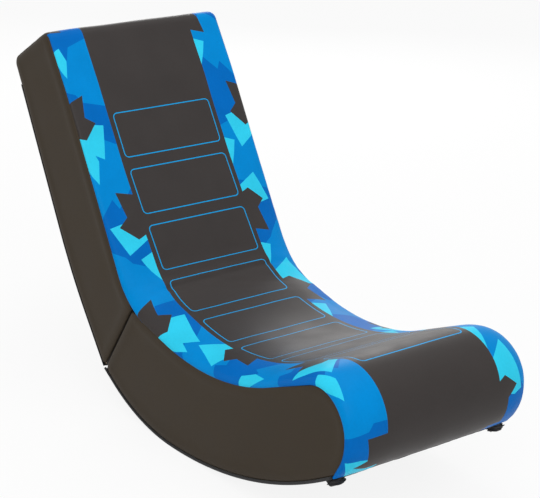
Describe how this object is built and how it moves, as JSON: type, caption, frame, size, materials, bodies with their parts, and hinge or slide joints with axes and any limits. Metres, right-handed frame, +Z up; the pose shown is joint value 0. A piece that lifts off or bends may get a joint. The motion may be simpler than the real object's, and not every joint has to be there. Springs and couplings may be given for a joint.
{
  "type": "gaming rocker chair",
  "caption": "Legless folding floor rocker: upholstered seat on a curved base, with a padded back hinged at the fold line.",
  "frame": {"origin": "bottom centre of the bounding box, on the floor", "axes": "+X across the chair, +Y from the front to the rear, +Z up, at rest on the floor"},
  "size_m": [0.41, 1.1181, 0.7223],
  "materials": {
    "front_pu": "satin printed PU, black centre with blue camouflage side strips",
    "side_pu": "satin brown-black PU over thin padding",
    "wadding": "soft polyester and foam layer",
    "foam": "polyurethane foam",
    "webbing": "elastic woven webbing",
    "base_cloth": "black non-woven cloth",
    "hinge_steel": "zinc plated sheet steel",
    "plywood": "raw plywood"
  },
  "bodies": {
    "seat": {"front_gather_left": "base_cloth", "front_gather_right": "base_cloth", "hinge_pin_left": "hinge_steel", "hinge_pin_right": "hinge_steel", "rocker_base_board": "plywood", "rocker_base_cloth": "base_cloth", "seat_core_foam": "foam", "seat_cover": "front_pu", "seat_deck": "plywood", "seat_end_board": "plywood", "seat_end_cloth": "base_cloth", "seat_front_board": "plywood", "seat_leaf_left": "hinge_steel", "seat_leaf_right": "hinge_steel", "seat_padding": "wadding", "seat_ribs": "plywood", "seat_side_board_left": "plywood", "seat_side_board_right": "plywood", "seat_side_cover_left": "side_pu", "seat_side_cover_right": "side_pu"},
    "back": {"back_battens": "plywood", "back_core_foam": "foam", "back_cover": "front_pu", "back_end_board": "plywood", "back_end_cloth": "base_cloth", "back_leaf_left": "hinge_steel", "back_leaf_right": "hinge_steel", "back_mid_rail": "plywood", "back_padding": "wadding", "back_rear_board": "plywood", "back_rear_cloth": "base_cloth", "back_side_board_left": "plywood", "back_side_board_right": "plywood", "back_side_cover_left": "side_pu", "back_side_cover_right": "side_pu", "back_top_rail": "plywood", "back_webbing": "webbing"}
  },
  "joints": [
    {"name": "back_fold", "type": "hinge", "parent": "seat", "child": "back", "pos_m": [0, 0.10702, 0.23004], "axis": [1, 0, 0], "range_deg": [0, 112]}
  ]
}
